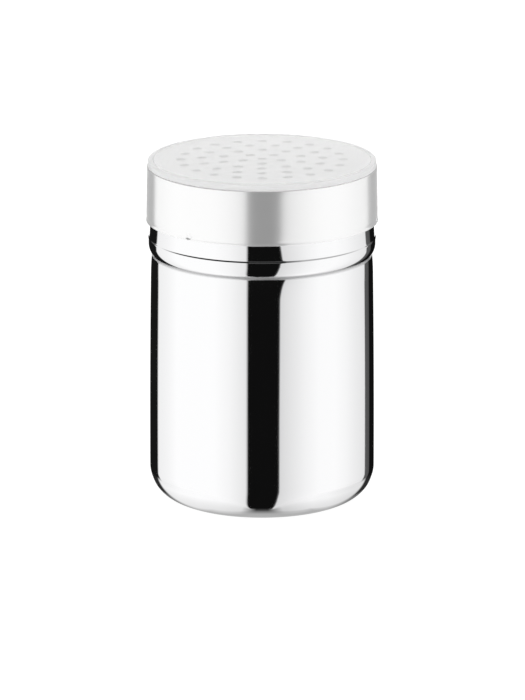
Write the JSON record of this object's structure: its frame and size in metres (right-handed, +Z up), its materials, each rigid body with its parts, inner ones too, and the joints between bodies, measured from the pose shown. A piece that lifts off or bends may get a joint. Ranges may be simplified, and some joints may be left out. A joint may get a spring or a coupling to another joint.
{
  "type": "spice shaker",
  "caption": "Round steel spice shaker: a drawn cup with a bead, a lift-off perforated lid and a plastic dust cover.",
  "frame": {"origin": "middle of the flat base, on the surface that the shaker stands on", "axes": "+Z up along the shaker's axis, -Y towards the front, where each ring of holes starts; +X to the right"},
  "size_m": [0.0696, 0.0696, 0.1046],
  "materials": {
    "mirror_steel": "mirror-polished stainless steel",
    "satin_steel": "satin-brushed stainless steel",
    "frosted_plastic": "frosted natural polyethylene, translucent"
  },
  "bodies": {
    "cup": {"cup": "mirror_steel"},
    "lid": {"perforated_lid": "satin_steel"},
    "cover": {"dust_cover": "frosted_plastic"}
  },
  "joints": [
    {"name": "lid_lift", "type": "slide", "parent": "cup", "child": "lid", "axis": [0, 0, 1], "range_m": [0, 0.04]},
    {"name": "cover_lift", "type": "slide", "parent": "lid", "child": "cover", "axis": [0, 0, 1], "range_m": [0, 0.02]}
  ]
}
